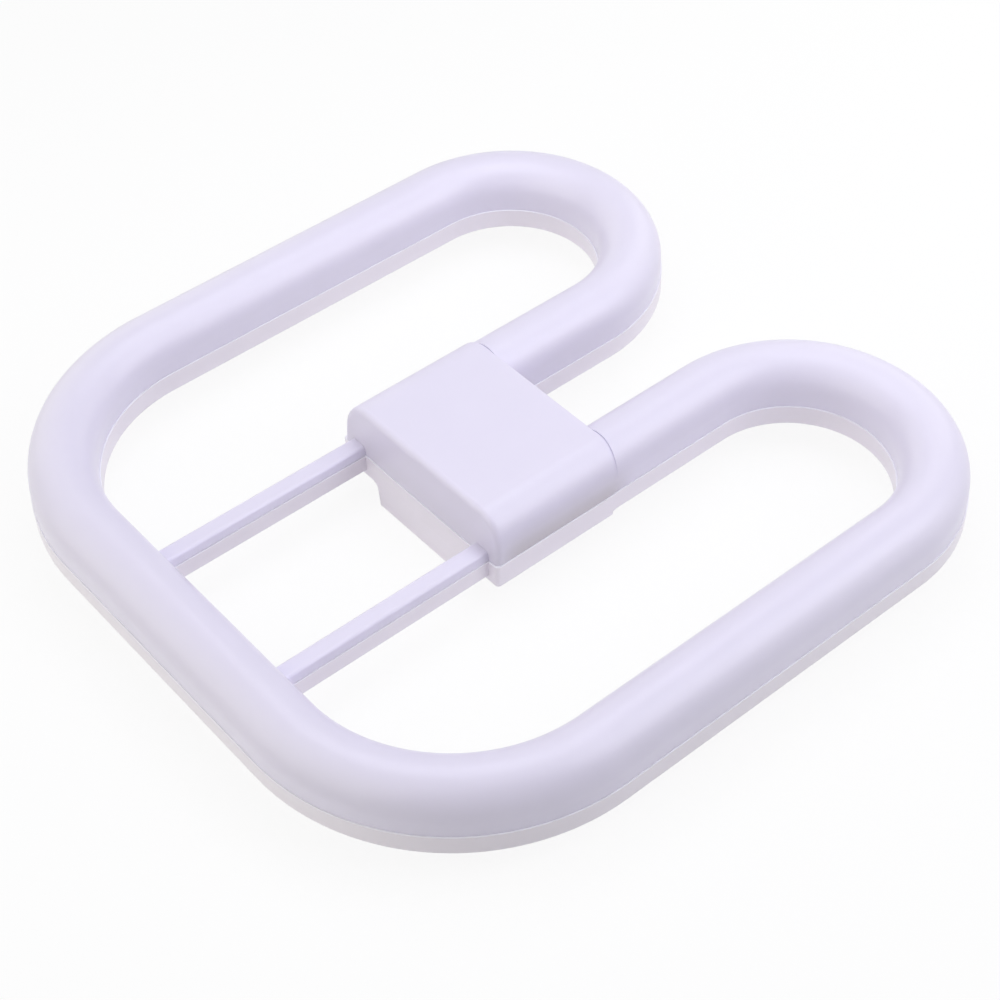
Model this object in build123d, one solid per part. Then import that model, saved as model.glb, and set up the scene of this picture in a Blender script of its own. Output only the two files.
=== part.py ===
from build123d import *
import os

# A square double-D LED lamp. A flat-bottomed tube runs from a central driver housing round two
# loops, down two long sides and along a cross bar, and two thin ribs tie the bar to the housing.
# It is moulded as a base shell and a diffuser cover that meet at one seam all the way round, with
# LED boards and a driver inside and a four-pin cap under the housing.
#
# Frame in millimetres: the origin is at the foot of the cap under the middle of the lamp, +Z goes
# up through the crown of the diffuser, +X towards the two loops, with the cross bar on -X.

# Tube and its route
lamp_length = 205.5          # along X, bar to loops
lamp_width = 205.0           # along Y, over the two long sides
tube_width = 18.6            # at the base shell
tube_height = 19.2           # flat underside to crown
seam_height = 6.2            # flat underside to the seam between the two shells
bar_corner_radius = 51.7     # centreline of the two corners beside the cross bar
stub_spacing = 45.2          # centreline to centreline where the tube leaves the housing

# Shell walls and the joint between them
wall = 1.5                   # diffuser cover
floor = 1.5                  # base shell, underside
ledge = 0.3                  # base shell rim left standing outside the cover
lip_thickness = 0.7          # tongue of the cover inside the base wall
lip_depth = 1.6
lip_clearance = 0.1
smallest_radius = 0.3        # least corner that a mould gets
level_slack = 0.01           # when edges are picked by their level

# Driver housing
housing_front = 21.6         # lamp middle to the face towards the bar
housing_step = 2.9           # face towards the loops behind the end of the deck
housing_margin = 0.2         # flanks outside the tube
crown_margin = 0.6           # top above the tube's crown
shoulder_radius = 8.7        # where a flank turns into the top
housing_corner = 1.2         # front corners in plan
crown_edge = 1.7             # where the crown's front face turns into the flanks and the top
crown_inner_edge = 1.0       # the same edge inside the crown
crown_lean = 1.3             # the crown's front face leans back by this at the top
rear_sweep = 2.2             # the rear edge draws back by this towards the flanks
deck_drop = 1.1              # housing underside below the tube's underside
deck_heel = 3.4              # deck behind the cap
deck_chamfer = 1.0

# Four-pin cap
cap_drop = 8.7               # cap foot below the tube's underside
cap_length = 36.0            # back from the housing front
cap_foot_width = 34.6
cap_root_width = 36.0        # the ends are drafted
cap_root_fillet = 1.4
cap_wall = 1.8
cap_corner = 0.8             # rear corners
pin_spacing_x = 10.0
pin_spacing_y = 10.0
pin_diameter = 2.35
pin_reach = 6.6              # below the deck, inside the cap's skirt
pin_tip_chamfer = 0.5
pin_shank_diameter = 3.0     # thicker where it goes through the deck
pin_hole_clearance = 0.05
pin_collar_diameter = 4.2
pin_collar_thickness = 0.8
pin_tail_diameter = 1.0
pin_tail_stand = 0.7         # above the driver board
pin_tail_clearance = 0.1

# Tie ribs between the housing and the cross bar
rib_spacing = 50.8
rib_width = 6.45
rib_rise = 0.9               # underside above the tube's underside
rib_crown = 2.6              # top above the seam
rib_top_width = 4.6

# LED boards
board_side_gap = 0.6         # board edge to tube wall
led_board_thickness = 1.0
led_board_lift = 1.5         # rails under the board
rail_width = 1.2
rail_inset = 1.4             # board edge to the outer face of its rail
board_meeting_gap = 1.0      # between the two boards at the middle of the bar
board_entry = 6.1            # boards reach this far into the housing
led_pitch = 9.8
led_end_margin = 8.0
led_length = 3.5
led_width = 2.8
led_height = 0.7
led_window_inset = 0.45
led_window_depth = 0.15

# Driver board and its posts
driver_edge_gap = 1.2        # board edge to the housing wall
driver_rear_gap = 1.6        # board edge to the ends of the LED boards
driver_thickness = 1.6
driver_lift = 2.5            # posts under the board
post_diameter = 4.0
stake_diameter = 2.0         # melted pip that holds the board
stake_clearance = 0.1
stake_stand = 0.5
post_inset = 3.0             # from the front and rear edges of the board
front_post_spacing = 50.0
rear_post_spacing = 28.0

# Driver components: sizes, then the middle of each on the board as (X, Y)
core_width = 13.0
core_depth = 6.0
core_height = 11.6
core_leg = 3.4               # centre leg; the side legs are half of it
bobbin_gap = 0.15            # core to bobbin
bobbin_depth = 12.0
bobbin_flange = 0.8
bobbin_stand = 1.2           # bobbin foot under the core
winding_inset = 0.5
transformer_place = (-5.0, 16.5)
input_can_diameter = 8.0
input_can_height = 11.5
input_can_place = (2.5, -20.5)
output_can_diameter = 6.3
output_can_height = 11.0
output_can_inset = 5.0       # middle of the can to the rear edge of the board
output_can_y = 7.2
can_bevel = 0.4
can_groove_depth = 0.35
can_groove_height = 2.2
film_length = 12.0
film_width = 5.0
film_height = 9.5
film_corner = 0.6
film_place = (-15.0, 0.0)
choke_diameter = 6.0
choke_height = 8.0
choke_flange = 1.2
choke_waist = 1.0
choke_place = (-14.0, -10.8)
varistor_diameter = 7.0
varistor_thickness = 3.4
varistor_edge = 0.8
varistor_lead_spacing = 5.0
varistor_stand = 1.0
varistor_place = (-8.0, -16.2)
fuse_diameter = 2.6
fuse_length = 6.6
fuse_lead_reach = 9.6        # over the two bends
fuse_lift = 0.5
fuse_place = (-8.0, -24.4)
component_lead = 0.6         # wire diameter of leaded parts
bridge_size = (4.7, 3.9, 2.4)
bridge_legs = 2
bridge_place = (-5.5, -10.2)
chip_size = (4.9, 3.9, 1.5)
chip_legs = 4
chip_place = (5.5, -8.2)
chip_leg_width = 0.4
chip_leg_reach = 1.0
chip_leg_thickness = 0.2
chip_standoff = 0.1

# Leads from the driver board to the LED boards
lead_diameter = 1.2
lead_spread = 5.0
lead_run = 6.4
lead_rise = 3.2
lead_bend = 2.4
lead_pad_inset = 2.2         # from the rear edge of the driver board

# Levels
underside = cap_drop
deck = underside - deck_drop
deck_floor = deck + floor
tube_floor = underside + floor
seam = underside + seam_height
tube_top = underside + tube_height
housing_top = tube_top + crown_margin
rib_underside = underside + rib_rise
rail_top = tube_floor + led_board_lift
led_seat = rail_top + led_board_thickness
driver_under = deck_floor + driver_lift
driver_top = driver_under + driver_thickness

# Plan positions: the cap sets the deck, and the deck sets the housing
cap_front = -housing_front
cap_rear = cap_front + cap_length
deck_rear = cap_rear + deck_heel
housing_rear = deck_rear + housing_step
base_wall = wall + ledge
tube_half = tube_width / 2
stub_y = stub_spacing / 2
side_y = lamp_width / 2 - tube_half
bar_x = -lamp_length / 2 + tube_half
loop_radius = (side_y - stub_y) / 2
loop_y = (side_y + stub_y) / 2
loop_x = lamp_length / 2 - tube_half - loop_radius
corner_x = bar_x + bar_corner_radius
corner_y = side_y - bar_corner_radius
housing_half = stub_y + tube_half + housing_margin
stub_root = housing_rear - rear_sweep - 2 * base_wall
rib_root = -housing_front + 2 * base_wall
led_board_half = tube_half - base_wall - board_side_gap
led_board_start = housing_rear - board_entry
driver_front = -housing_front + base_wall + driver_edge_gap
driver_rear = led_board_start - driver_rear_gap
driver_half = housing_half - base_wall - driver_edge_gap
output_can_place = (driver_rear - output_can_inset, output_can_y)
pin_middle_x = (cap_front + cap_rear) / 2
diagonal = 0.5**0.5          # sine of 45 degrees


def across(x, y=0):
    """Plane across the lamp at x, drawn on as (Y, Z)."""
    return Plane(origin=(x, y, 0), x_dir=(0, 1, 0), z_dir=(1, 0, 0))


def half_route(start_x, end_y):
    """Centreline of the left half: stub, half-round loop, long side, corner, then half the bar."""
    bend = bar_corner_radius * diagonal
    return [
        Line((start_x, stub_y), (loop_x, stub_y)),
        ThreePointArc((loop_x, stub_y), (loop_x + loop_radius, loop_y), (loop_x, side_y)),
        Line((loop_x, side_y), (corner_x, side_y)),
        ThreePointArc((corner_x, side_y), (corner_x - bend, corner_y + bend), (bar_x, corner_y)),
        Line((bar_x, corner_y), (bar_x, end_y)),
    ]


def along_tube(section, start_x):
    """Carry a tube section, drawn as (across, height), round the whole lamp from stub to stub."""
    left = half_route(start_x, 0)
    right = [mirror(edge, about=Plane.XZ) for edge in reversed(left)]
    return sweep(across(start_x, stub_y) * section, path=Wire([e.edge() for e in left + right]))


def strip(half_width, bottom, top):
    """Rectangular tube section between two heights."""
    return Pos(0, (bottom + top) / 2) * Rectangle(2 * half_width, top - bottom)


def arch(half_width, top):
    """Tube section above the seam: straight flanks under a half-round crown."""
    spring = top - half_width
    crown = ThreePointArc((-half_width, spring), (0, top), (half_width, spring))
    sides = Polyline((half_width, spring), (half_width, seam), (-half_width, seam), (-half_width, spring))
    return make_face(crown.edges() + sides.edges())


def housing_plan(inset):
    """Plan of the housing: straight front and flanks, and a rear edge swept back to each flank."""
    front = -housing_front + inset
    back = housing_rear - inset
    half = housing_half - inset
    sweep_left = TangentArc((back, stub_y), (back - rear_sweep, half), tangent=(0, 1))
    sweep_right = mirror(sweep_left, about=Plane.XZ)
    rear = Line((back, -stub_y), (back, stub_y))
    rest = Polyline((back - rear_sweep, half), (front, half), (front, -half), (back - rear_sweep, -half))
    return make_face(rear.edges() + sweep_left.edges() + rest.edges() + sweep_right.edges())


def round_front(plan, inset):
    """Round the two front corners of a plan of the housing."""
    corners = plan.vertices().sort_by(Axis.X)[:2]
    return fillet(corners, max(housing_corner - inset, smallest_radius))


def housing_outline(inset):
    """Plan of the housing with rounded front corners, drawn in by the inset."""
    return round_front(housing_plan(inset), inset)


def deck_outline(inset):
    """Plan of the deck, which ends short of the housing's rear edge."""
    front = -housing_front + inset
    back = deck_rear - inset
    plan = Pos((front + back) / 2, 0) * Rectangle(back - front, 2 * (housing_half - inset))
    return round_front(plan, inset)


def upright(plan, bottom, top):
    """Extrude a plan between two heights."""
    return extrude(Pos(0, 0, bottom) * plan, top - bottom)


def rib_plans(inset):
    """Plans of the two tie ribs, from inside the bar to inside the housing."""
    length = rib_root - bar_x
    bar = Rectangle(length, rib_width - 2 * inset)
    return [Pos((bar_x + rib_root) / 2, side * rib_spacing / 2) * bar for side in (1, -1)]


def shell_region(inset, bottom, top):
    """Tube, housing and ribs together, drawn in by the inset and upright between two heights."""
    region = along_tube(strip(tube_half - inset, bottom, top), stub_root)
    region += upright(housing_outline(inset), bottom, top)
    for plan in rib_plans(inset):
        region += upright(plan, bottom, top)
    return region


def cap_block(inset, bottom, top):
    """Cap under the housing: upright front and back, and ends that lean in towards the foot."""
    lean = (cap_root_width - cap_foot_width) / 2 / deck
    ends = [cap_foot_width / 2 - inset + lean * z for z in (bottom, top)]
    outline = Polyline((-ends[0], bottom), (ends[0], bottom), (ends[1], top), (-ends[1], top), close=True)
    block = extrude(across(cap_front + inset) * make_face(outline.edges()), cap_length - 2 * inset)
    rear_face = block.faces().sort_by(Axis.X)[-1]
    uprights = rear_face.edges().sort_by(Axis.Y)
    return fillet([uprights[0], uprights[-1]], max(cap_corner - inset, smallest_radius))


def cap_root_edges(block):
    """Edges where the ends and the back of the cap meet the deck."""
    half = cap_root_width / 2 + level_slack
    edges = block.edges().filter_by_position(Axis.Z, deck - level_slack, deck + level_slack)
    edges = edges.filter_by_position(Axis.Y, -half, half)
    return edges.filter_by_position(Axis.X, cap_front + level_slack, cap_rear + level_slack)


def pin_places():
    """Middle of each contact pin in plan."""
    return [
        (pin_middle_x + sx * pin_spacing_x / 2, sy * pin_spacing_y / 2)
        for sx in (-1, 1)
        for sy in (-1, 1)
    ]


def post_places():
    """Middle of each post under the driver board."""
    front = [(driver_front + post_inset, side * front_post_spacing / 2) for side in (1, -1)]
    rear = [(driver_rear - post_inset, side * rear_post_spacing / 2) for side in (1, -1)]
    return front + rear


def round_bar(place, diameter, bottom, top):
    """Upright cylinder at a place in plan."""
    return upright(Pos(*place) * Circle(diameter / 2), bottom, top)


def make_base_shell():
    """Lower moulding: tray of the tube, deck of the housing, tie ribs, cap skirt, rails and posts."""
    deck_block = upright(deck_outline(0), deck, seam)
    heel = deck_block.faces().sort_by(Axis.X)[-1].edges().sort_by(Axis.Z)[0]
    shell = chamfer(heel, deck_chamfer) + cap_block(0, 0, deck)
    shell = fillet(cap_root_edges(shell), cap_root_fillet)
    shell += upright(housing_outline(0), underside, seam)
    shell += along_tube(strip(tube_half, underside, seam), stub_root)
    for plan in rib_plans(0):
        shell += upright(plan, rib_underside, seam)

    shell -= upright(deck_outline(base_wall), deck_floor, seam)
    shell -= upright(housing_outline(base_wall), tube_floor, seam)
    shell -= along_tube(strip(tube_half - base_wall, tube_floor, seam), stub_root)
    for plan in rib_plans(base_wall):
        shell -= upright(plan, rib_underside + floor, seam)
    rebate_depth = lip_depth + lip_clearance
    shell -= shell_region(base_wall - lip_thickness - lip_clearance, seam - rebate_depth, seam)
    shell -= cap_block(cap_wall, 0, deck)

    rail_outer = led_board_half - rail_inset
    rail_middle = rail_outer - rail_width / 2
    for side in (1, -1):
        rail = Pos(side * rail_middle, 0) * strip(rail_width / 2, deck_floor, rail_top)
        shell += along_tube(rail, led_board_start)
    for place in post_places():
        shell += round_bar(place, post_diameter, deck_floor, driver_under)
        shell += round_bar(place, stake_diameter, driver_under, driver_top + stake_stand)
    for place in pin_places():
        shell -= round_bar(place, pin_shank_diameter + 2 * pin_hole_clearance, deck, deck_floor)
    return shell


def housing_crown(inset, edge):
    """Top of the housing: flanks, shoulders that follow the tube's crown, and a leaning, rounded front."""
    front = -housing_front + inset
    half = housing_half - inset
    top = housing_top + ledge - inset
    shoulder = shoulder_radius + ledge - inset
    spring = top - shoulder
    bend = shoulder * diagonal
    left = ThreePointArc((half, spring), (half - shoulder + bend, spring + bend), (half - shoulder, top))
    right = mirror(left, about=Plane.YZ)
    flat = Line((half - shoulder, top), (shoulder - half, top))
    sides = Polyline((half, spring), (half, seam), (-half, seam), (-half, spring))
    profile = make_face(left.edges() + flat.edges() + right.edges() + sides.edges())
    block = extrude(across(front) * profile, housing_front + housing_rear - 2 * inset)
    block &= upright(housing_plan(inset), seam, top)
    set_back = crown_lean * (top - seam) / (housing_top - seam)
    wedge = Polyline((front, seam), (front + set_back, top), (front, top), close=True)
    block -= extrude(Plane.XZ * make_face(wedge.edges()), half, both=True)
    front_edges = block.faces().sort_by(Axis.X)[0].edges().sort_by(Axis.Z)[1:]
    return fillet(front_edges, edge)


def rib_crowns():
    """Tapered top halves of the two tie ribs."""
    foot = rib_width / 2 - ledge
    top = rib_top_width / 2
    crown = seam + rib_crown
    section = Polyline((-foot, seam), (foot, seam), (top, crown), (-top, crown), close=True)
    crowns = []
    for side in (1, -1):
        start = across(bar_x, side * rib_spacing / 2)
        crowns.append(extrude(start * make_face(section.edges()), rib_root - bar_x))
    return crowns


def make_diffuser_cover():
    """Upper moulding: hollow crown of the tube and housing, rib tops, and a tongue below the seam."""
    cover = along_tube(arch(tube_half - ledge, tube_top), stub_root)
    cover += housing_crown(ledge, crown_edge)
    for crown in rib_crowns():
        cover += crown
    cover -= along_tube(arch(tube_half - base_wall, tube_top - wall), stub_root)
    cover -= housing_crown(base_wall, crown_inner_edge)
    tongue = shell_region(base_wall - lip_thickness, seam - lip_depth, seam)
    tongue -= shell_region(base_wall, seam - lip_depth, seam)
    return cover + tongue


def led_route():
    """Centreline of the left LED board, from the housing to the middle of the bar."""
    return Wire([e.edge() for e in half_route(led_board_start, board_meeting_gap / 2)])


def make_led_board():
    """Left LED board: one strip on the rails along its route."""
    section = strip(led_board_half, rail_top, led_seat)
    return sweep(across(led_board_start, stub_y) * section, path=led_route())


def make_leds():
    """Left row of LED packages, evenly spaced along the board, each with a sunk window."""
    route = led_route()
    body = upright(Rectangle(led_length, led_width), 0, led_height)
    window = Rectangle(led_length - 2 * led_window_inset, led_width - 2 * led_window_inset)
    body -= upright(window, led_height - led_window_depth, led_height)
    usable = route.length - 2 * led_end_margin
    gaps = int(usable / led_pitch)
    leds = []
    for index in range(gaps + 1):
        distance = led_end_margin + usable * index / gaps
        middle = route.position_at(distance, position_mode=PositionMode.LENGTH)
        heading = route.tangent_at(distance, position_mode=PositionMode.LENGTH)
        turn = Vector(1, 0, 0).get_signed_angle(heading, Vector(0, 0, 1))
        leds.append(Pos(middle.X, middle.Y, led_seat) * Rot(0, 0, turn) * body)
    return Compound(children=[led.solid() for led in leds])


def make_driver_board():
    """Circuit board on its four posts, with holes for the stakes and the pin tails."""
    length = driver_rear - driver_front
    plan = Pos((driver_front + driver_rear) / 2, 0) * Rectangle(length, 2 * driver_half)
    board = upright(plan, driver_under, driver_top)
    for place in post_places():
        board -= round_bar(place, stake_diameter + 2 * stake_clearance, driver_under, driver_top)
    for place in pin_places():
        board -= round_bar(place, pin_tail_diameter + 2 * pin_tail_clearance, driver_under, driver_top)
    return board


def make_contact_pin(place):
    """Turned pin: contact below the deck, shank and collar in it, tail through the driver board."""
    pin = round_bar(place, pin_diameter, deck - pin_reach, deck)
    tip = pin.faces().sort_by(Axis.Z)[0].edges()
    pin = chamfer(tip, pin_tip_chamfer)
    pin += round_bar(place, pin_shank_diameter, deck, deck_floor)
    pin += round_bar(place, pin_collar_diameter, deck_floor, deck_floor + pin_collar_thickness)
    pin += round_bar(place, pin_tail_diameter, deck_floor, driver_top + pin_tail_stand)
    return pin


def make_transformer_core():
    """Ferrite frame with a centre leg, standing across the board."""
    side_leg = core_leg / 2
    window_width = (core_width - core_leg) / 2 - side_leg
    window_height = core_height - 2 * side_leg
    bottom = driver_top + bobbin_stand
    frame = upright(Rectangle(core_width, core_depth), bottom, bottom + core_height)
    for side in (1, -1):
        window = Pos(side * (core_leg + window_width) / 2, 0) * Rectangle(window_width, core_depth)
        frame -= upright(window, bottom + side_leg, bottom + side_leg + window_height)
    return Pos(*transformer_place) * frame


def make_transformer_winding():
    """Wound bobbin round the centre leg, flanged at both ends, on a foot each side of the core."""
    side_leg = core_leg / 2
    bore = Rectangle(core_leg + 2 * bobbin_gap, core_depth + 2 * bobbin_gap)
    width = core_width - 2 * side_leg - 2 * bobbin_gap
    bottom = driver_top + bobbin_stand + side_leg + bobbin_gap
    top = driver_top + bobbin_stand + core_height - side_leg - bobbin_gap
    body = upright(Rectangle(width - 2 * winding_inset, bobbin_depth - 2 * winding_inset), bottom, top)
    for level in (bottom, top - bobbin_flange):
        body += upright(Rectangle(width, bobbin_depth), level, level + bobbin_flange)
    foot_depth = (bobbin_depth - core_depth) / 2 - bobbin_gap
    for side in (1, -1):
        middle = side * (bobbin_depth - foot_depth) / 2
        body += upright(Pos(0, middle) * Rectangle(width, foot_depth), driver_top, bottom)
    return Pos(*transformer_place) * (body - upright(bore, bottom, top))


def make_can(place, diameter, height):
    """Standing electrolytic can: bevelled rims and a rolled groove near the foot."""
    radius = diameter / 2
    groove = can_groove_depth
    low = can_groove_height - 2 * groove
    high = can_groove_height + 2 * groove
    profile = Polyline(
        (0, 0),
        (radius - can_bevel, 0),
        (radius, can_bevel),
        (radius, low),
        (radius - groove, can_groove_height),
        (radius, high),
        (radius, height - can_bevel),
        (radius - can_bevel, height),
        (0, height),
        close=True,
    )
    can = revolve(Plane.XZ * make_face(profile.edges()), Axis.Z)
    return Pos(place[0], place[1], driver_top) * can


def make_film_capacitor():
    """Boxed film capacitor with rounded upright edges."""
    plan = Pos(*film_place) * Rectangle(film_width, film_length)
    box = upright(plan, driver_top, driver_top + film_height)
    return fillet(box.edges().filter_by(Axis.Z), film_corner)


def make_input_choke():
    """Drum choke: two flanges and a wound waist."""
    top = driver_top + choke_height
    drum = round_bar(choke_place, choke_diameter - 2 * choke_waist, driver_top, top)
    drum += round_bar(choke_place, choke_diameter, driver_top, driver_top + choke_flange)
    drum += round_bar(choke_place, choke_diameter, top - choke_flange, top)
    return drum


def make_varistor():
    """Coated disc standing on two wire legs."""
    middle = driver_top + varistor_stand + varistor_diameter / 2
    disc = Rot(90, 0, 0) * Cylinder(varistor_diameter / 2, varistor_thickness)
    disc = chamfer(disc.edges().filter_by(GeomType.CIRCLE), varistor_edge)
    disc = Pos(varistor_place[0], varistor_place[1], middle) * disc
    for side in (1, -1):
        place = (varistor_place[0] + side * varistor_lead_spacing / 2, varistor_place[1])
        disc += round_bar(place, component_lead, driver_top, middle)
    return disc


def make_fuse_resistor():
    """Fusible resistor lying along X, its wire bent down to the board at both ends."""
    x, y = fuse_place
    middle = driver_top + fuse_lift + fuse_diameter / 2
    body = Pos(x, y, middle) * Rot(0, 90, 0) * Cylinder(fuse_diameter / 2, fuse_length)
    body = chamfer(body.edges().filter_by(GeomType.CIRCLE), fuse_diameter / 4)
    reach = fuse_lead_reach / 2
    bend = 1.5 * component_lead
    ends = [(x - reach, y, driver_top), (x + reach, y, driver_top)]
    wire = FilletPolyline(ends[0], (x - reach, y, middle), (x + reach, y, middle), ends[1], radius=bend)
    start = Plane(origin=(x - reach, y, driver_top), z_dir=(0, 0, 1))
    return body + sweep(start * Circle(component_lead / 2), path=wire)


def make_chip(place, size, legs):
    """Surface-mount package with flat legs along both long sides."""
    length, width, height = size
    bottom = driver_top + chip_standoff
    body = upright(Pos(*place) * Rectangle(length, width), bottom, driver_top + height)
    pitch = length / legs
    for index in range(legs):
        x = place[0] + pitch * (index - (legs - 1) / 2)
        foot = Pos(x, place[1]) * Rectangle(chip_leg_width, width + 2 * chip_leg_reach)
        body += upright(foot, driver_top, bottom + chip_leg_thickness)
    return body


def make_lead(offset):
    """Insulated wire that hops from the driver board to the left LED board."""
    y = stub_y + offset
    first = driver_rear - lead_pad_inset
    last = first + lead_run
    crest = driver_top + lead_rise
    points = [(first, y, driver_top), (first, y, crest), (last, y, crest), (last, y, led_seat)]
    route = FilletPolyline(*points, radius=lead_bend)
    start = Plane(origin=(first, y, driver_top), z_dir=(0, 0, 1))
    return sweep(start * Circle(lead_diameter / 2), path=route)


nodes = {
    "base_shell": make_base_shell(),
    "diffuser_cover": make_diffuser_cover(),
    "driver_board": make_driver_board(),
    "transformer_core": make_transformer_core(),
    "transformer_winding": make_transformer_winding(),
    "input_capacitor": make_can(input_can_place, input_can_diameter, input_can_height),
    "output_capacitor": make_can(output_can_place, output_can_diameter, output_can_height),
    "film_capacitor": make_film_capacitor(),
    "input_choke": make_input_choke(),
    "varistor": make_varistor(),
    "fuse_resistor": make_fuse_resistor(),
    "bridge_rectifier": make_chip(bridge_place, bridge_size, bridge_legs),
    "driver_chip": make_chip(chip_place, chip_size, chip_legs),
}
for number, pin_place in enumerate(pin_places(), start=1):
    nodes[f"contact_pin_{number}"] = make_contact_pin(pin_place)

left_pieces = {
    "led_board": make_led_board(),
    "leds": make_leds(),
    "led_lead_positive": make_lead(lead_spread / 2),
    "led_lead_negative": make_lead(-lead_spread / 2),
}
for name, piece in left_pieces.items():
    nodes[f"{name}_left"] = piece
    nodes[f"{name}_right"] = mirror(piece, about=Plane.XZ)

os.makedirs("parts", exist_ok=True)
for name, piece in nodes.items():
    export_step(piece, f"parts/{name}.step")
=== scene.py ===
"""A square double-D LED lamp: two white mouldings closed over LED boards and a driver, in a white studio.

Lengths are in millimetres and become metres where a mesh or a material takes them. The frame's axes are
used throughout: +Z up through the crown of the diffuser, +X towards the two loops, the cross bar on -X.
"""
import math

import bpy
import numpy as np
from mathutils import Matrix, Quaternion, Vector


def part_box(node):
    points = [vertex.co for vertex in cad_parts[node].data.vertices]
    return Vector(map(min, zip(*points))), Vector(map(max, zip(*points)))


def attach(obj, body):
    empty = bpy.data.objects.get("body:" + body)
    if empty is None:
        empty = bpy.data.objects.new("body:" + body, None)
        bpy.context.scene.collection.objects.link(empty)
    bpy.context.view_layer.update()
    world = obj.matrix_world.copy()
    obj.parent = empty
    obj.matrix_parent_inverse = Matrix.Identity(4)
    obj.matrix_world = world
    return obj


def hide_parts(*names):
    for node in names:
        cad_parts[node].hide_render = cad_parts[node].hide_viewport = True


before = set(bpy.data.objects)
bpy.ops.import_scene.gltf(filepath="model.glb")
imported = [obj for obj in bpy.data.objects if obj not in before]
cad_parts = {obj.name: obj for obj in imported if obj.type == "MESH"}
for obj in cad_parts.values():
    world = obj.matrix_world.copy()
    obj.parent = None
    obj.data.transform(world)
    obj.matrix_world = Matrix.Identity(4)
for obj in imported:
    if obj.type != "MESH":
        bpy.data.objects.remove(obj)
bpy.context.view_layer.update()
mm = 0.001


# Base shell
# The lower half of the lamp is one injection moulding in opaque white polycarbonate: the tray of the tube,
# the deck of the driver housing, two tie ribs and the skirt of the four-pin cap. Its rim stands a little
# proud of the cover, except on the ribs, and rails and posts inside carry the boards.
base_low, base_high = (np.array(corner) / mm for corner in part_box("base_shell"))
tube_half = 9.3
seam = base_high[2]
seam_height = 6.2
underside = seam - seam_height
floor = 1.5
base_wall = 1.8
foot_round = 0.5
rim_round = 0.12
painted_rim_highlight = 0.3  # painted highlight: the rim is drawn brighter down to this far below the seam
inner_round = 0.3

stub_y = 22.6
side_y = base_high[1] - tube_half
bar_x = base_low[0] + tube_half
loop_radius = (side_y - stub_y) / 2
loop_y = (side_y + stub_y) / 2
loop_x = base_high[0] - tube_half - loop_radius
corner_radius = 51.7
corner_x = bar_x + corner_radius
corner_y = side_y - corner_radius

housing_front = 21.6
housing_rear = 20.7
housing_overlap = 0.2  # the housing's flanks stand this far outside the stubs
housing_half = stub_y + tube_half + housing_overlap
housing_corner = 1.2
rear_sweep = 2.2
stub_root = housing_rear - rear_sweep - 2 * base_wall
deck_drop = 1.1
deck = underside - deck_drop
deck_floor = deck + floor
deck_rear = 17.8
deck_heel = 2.0  # the heel of the deck is rounded this many times as far as its other edges

cap_length = 36.0
cap_foot_half = 17.3
cap_root_half = 18.0
cap_wall = 1.8
cap_corner = 0.8
cap_root_fillet = 1.4

rib_y = 25.4
rib_half = 3.225
rib_lift = 0.9
rib_underside = underside + rib_lift
rib_root = 2 * base_wall - housing_front

lip_thickness = 0.7
lip_depth = 1.6
lip_clearance = 0.1
embed = 0.4  # shapes that join reach this far into each other
crisp_angle = 35  # degrees; edges that turn by more stay sharp


def rounded(corners, radii, steps=6):
    """Closed outline through corner points, each corner cut back to an arc of its radius.

    The arc meets both sides at radius / tan(half the corner's angle) from the corner, and its points are
    turned evenly about its middle. A corner of no radius stays one point.
    """
    corners = np.asarray(corners, float)
    befores, afters = np.roll(corners, 1, 0), np.roll(corners, -1, 0)
    share = np.linspace(0, 1, steps + 1)[:, None]
    outline = []
    for corner, radius, before, after in zip(corners, radii, befores, afters):
        if radius == 0:
            outline.append(corner[None])
            continue
        back = (before - corner) / np.linalg.norm(before - corner)
        on = (after - corner) / np.linalg.norm(after - corner)
        half = np.arccos(np.clip(back @ on, -1, 1)) / 2
        middle = corner + (back + on) / np.linalg.norm(back + on) * radius / np.sin(half)
        start = corner + back * radius / np.tan(half) - middle
        end = corner + on * radius / np.tan(half) - middle
        turn = np.pi - 2 * half
        arc = (np.sin((1 - share) * turn) * start + np.sin(share * turn) * end) / np.sin(turn)
        outline.append(middle + arc)
    return np.concatenate(outline)


def closed_shape(rings):
    """Mesh of stacked closed rings, (rings, points, XYZ): quads between neighbours and a lid on each end.

    The volume that the faces shut in, summed as one sixth of corner triple products, says whether they face
    outwards, and they are all turned round where it is negative.
    """
    count, points = rings.shape[:2]
    index = np.arange(count * points).reshape(count, points)
    ahead = np.roll(index, -1, 1)
    walls = np.stack([index[:-1], ahead[:-1], ahead[1:], index[1:]], -1).reshape(-1, 4)
    lids = [index[0][::-1], index[-1]]
    places = rings.reshape(-1, 3) * mm
    fans = [np.stack([np.full(points - 2, lid[0]), lid[1:-1], lid[2:]], 1) for lid in lids]
    triangles = np.concatenate([walls[:, [0, 1, 2]], walls[:, [0, 2, 3]], *fans])
    a, b, c = (places[triangles[:, k]] for k in range(3))
    outwards = np.einsum("ij,ij->i", a, np.cross(b, c)).sum() > 0
    faces = walls.tolist() + [lid.tolist() for lid in lids]
    mesh = bpy.data.meshes.new("shape")
    mesh.from_pydata(places, [], faces if outwards else [face[::-1] for face in faces])
    return mesh


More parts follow.
